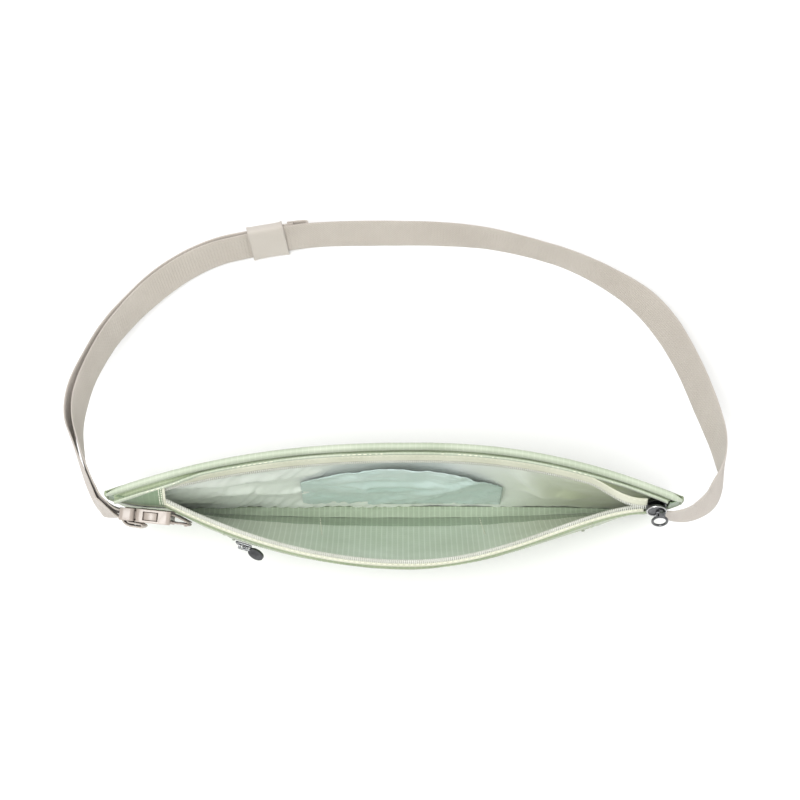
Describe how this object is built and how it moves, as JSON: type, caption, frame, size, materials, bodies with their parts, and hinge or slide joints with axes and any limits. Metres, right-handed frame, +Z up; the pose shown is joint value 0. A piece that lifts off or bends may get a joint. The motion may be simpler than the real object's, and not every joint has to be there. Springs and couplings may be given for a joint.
{
  "type": "money belt",
  "caption": "Flat zipped travel pouch worn round the waist on a webbing strap with a side-release buckle and a keeper for the doubled tail; shown standing, mouth open.",
  "frame": {"origin": "middle of the pouch's bottom fold, on the ground", "axes": "+X along the pouch from the buckle's end to the main slider's end, +Y from the front wall through the back wall towards the strap, +Z up from the bottom fold to the top hem"},
  "size_m": [0.3496, 0.2089, 0.127],
  "materials": {
    "ripstop": "sage green ripstop nylon",
    "inner_ripstop": "coated inner side with a fine grid",
    "lining": "pale mint satin",
    "divider": "thin blue-green nylon",
    "pocket_bag": "matt nylon",
    "zip_tape": "cream woven tape",
    "zip_coil": "nylon coil",
    "pocket_tape": "green woven tape",
    "pocket_coil": "nylon coil",
    "thread": "polyester thread",
    "dark_thread": "polyester thread",
    "webbing_thread": "polyester thread",
    "gunmetal": "black nickel gloss",
    "webbing": "ribbed greige webbing",
    "tab_webbing": "ribbed webbing",
    "buckle": "pinkish beige acetal"
  },
  "bodies": {
    "pouch": {"back_panel": "ripstop", "bottom_panel": "ripstop", "top_hem": "ripstop", "top_facing": "ripstop", "front_lower": "ripstop", "front_upper": "ripstop", "front_left": "ripstop", "front_right": "ripstop", "end_panel_left": "ripstop", "end_panel_right": "ripstop", "side_seam_left": "ripstop", "side_seam_right": "ripstop", "lining_back": "lining", "lining_front": "inner_ripstop", "divider_pocket": "divider", "pocket_bag": "pocket_bag", "lining_stitches": "thread", "main_tape_upper": "zip_tape", "main_tape_lower": "zip_tape", "main_coil_upper": "zip_coil", "main_coil_lower": "zip_coil", "zip_end_stitch": "thread", "pocket_tape_upper": "pocket_tape", "pocket_tape_lower": "pocket_tape", "pocket_coil": "pocket_coil", "pocket_bartacks": "dark_thread", "strap_back": "webbing", "tail_back": "webbing", "tail_end": "webbing", "strap_stitch": "webbing_thread", "buckle_female": "buckle", "buckle_tab": "tab_webbing", "tab_stitch": "webbing_thread"},
    "main_slider": {"main_slider": "gunmetal"},
    "main_puller": {"main_puller": "gunmetal"},
    "pocket_slider": {"pocket_slider": "gunmetal"},
    "pocket_puller": {"pocket_puller": "gunmetal"},
    "keeper": {"keeper": "webbing"},
    "buckle_male": {"buckle_male": "buckle", "strap_front": "webbing"},
    "arm_upper": {"arm_upper": "buckle"},
    "arm_lower": {"arm_lower": "buckle"}
  },
  "joints": [
    {"name": "main_zip_slide", "type": "slide", "parent": "pouch", "child": "main_slider", "axis": [-0.9998, 0.0173, 0], "range_m": [0, 0.242], "deforming": ["main_tape_lower", "main_coil_lower"]},
    {"name": "main_puller_swing", "type": "hinge", "parent": "main_slider", "child": "main_puller", "pos_m": [0.1348, -0.02176, 0.11679], "axis": [-1, 0, 0], "range_deg": [0, 90]},
    {"name": "pocket_zip_slide", "type": "hinge", "parent": "pouch", "child": "pocket_slider", "pos_m": [0.00142, 0.17568, 0.14742], "axis": [0.0017, -0.2859, 0.9583], "range_deg": [0, 41]},
    {"name": "pocket_puller_swing", "type": "hinge", "parent": "pocket_slider", "child": "pocket_puller", "pos_m": [-0.07794, -0.03471, 0.08571], "axis": [0, 0, -1], "range_deg": [0, 135]},
    {"name": "keeper_slide", "type": "slide", "parent": "pouch", "child": "keeper", "axis": [-0.9818, -0.1898, 0.0065], "range_m": [-0.0045, 0.008]},
    {"name": "buckle_release", "type": "slide", "parent": "pouch", "child": "buckle_male", "axis": [-0.9945, 0.1045, 0], "range_m": [0, 0.016]},
    {"name": "arm_upper_squeeze", "type": "hinge", "parent": "buckle_male", "child": "arm_upper", "pos_m": [-0.13272, -0.02096, 0.10527], "axis": [0.1029, 0.9794, 0.1736], "range_deg": [0, 12.5]},
    {"name": "arm_lower_squeeze", "type": "hinge", "parent": "buckle_male", "child": "arm_lower", "pos_m": [-0.13241, -0.01806, 0.08873], "axis": [-0.1029, -0.9794, -0.1736], "range_deg": [0, 12.5]}
  ],
  "couplings": [
    {"joint": "arm_upper_squeeze", "follows": "buckle_release", "rad_per_m": 13},
    {"joint": "arm_lower_squeeze", "follows": "buckle_release", "rad_per_m": 13}
  ]
}
